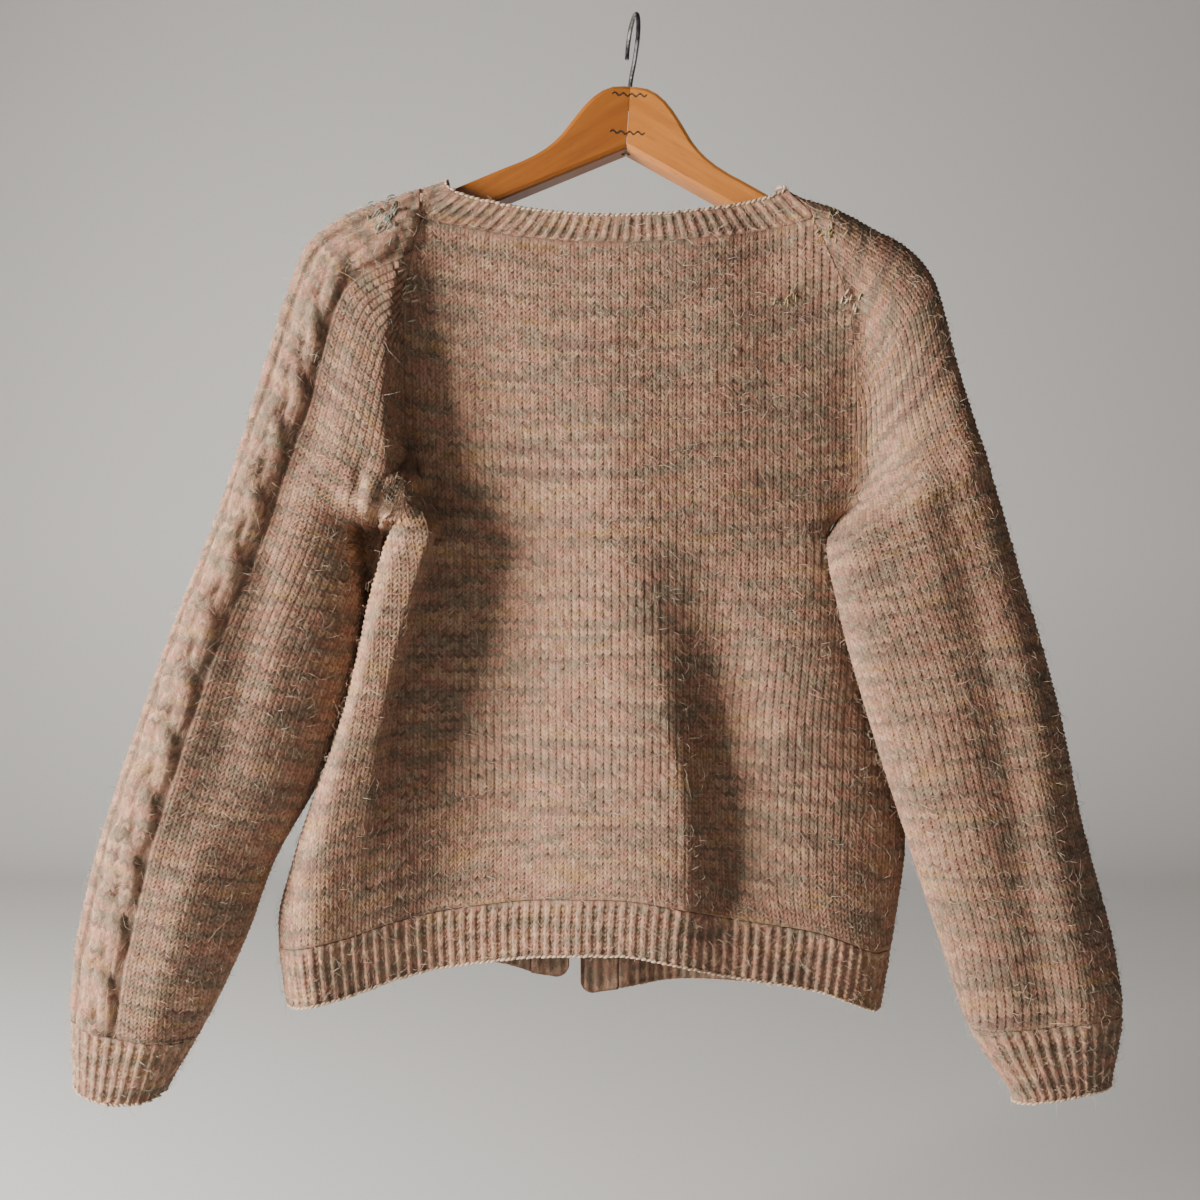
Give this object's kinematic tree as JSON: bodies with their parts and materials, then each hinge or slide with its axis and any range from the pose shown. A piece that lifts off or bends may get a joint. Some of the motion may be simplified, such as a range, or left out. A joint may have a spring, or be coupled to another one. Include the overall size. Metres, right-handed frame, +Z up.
{
  "type": "knitted cardigan on a wooden hanger",
  "caption": "Hand-knitted raglan cardigan with ribbed neck, hem and cuffs, hung back to front on a wooden hanger with a wire hook.",
  "frame": {"origin": "inside top of the hanger's hook, where it rests on a rail", "axes": "+Z up; the cardigan's back faces -Y and its open front +Y; +X is to the right seen from behind"},
  "size_m": [0.732, 0.0905, 0.7713],
  "materials": {
    "wool_fabric": "brushed heather wool in stocking stitch",
    "ribbed_wool": "brushed heather wool in single rib",
    "hanger_wood": "clear varnished beech",
    "hanger_steel": "dull bright wire"
  },
  "bodies": {
    "root": {"back_panel": "wool_fabric", "front_left_panel": "wool_fabric", "front_right_panel": "wool_fabric", "sleeve_left": "wool_fabric", "sleeve_right": "wool_fabric", "back_hem_rib": "ribbed_wool", "front_left_hem_rib": "ribbed_wool", "front_right_hem_rib": "ribbed_wool", "front_band_left": "ribbed_wool", "front_band_right": "ribbed_wool", "cuff_left": "ribbed_wool", "cuff_right": "ribbed_wool", "neckband": "ribbed_wool", "hanger_arm_left": "hanger_wood", "hanger_arm_right": "hanger_wood", "fastener_upper": "hanger_steel", "fastener_lower": "hanger_steel", "hook_rivet": "hanger_steel", "hanger_hook": "hanger_steel"}
  },
  "joints": []
}
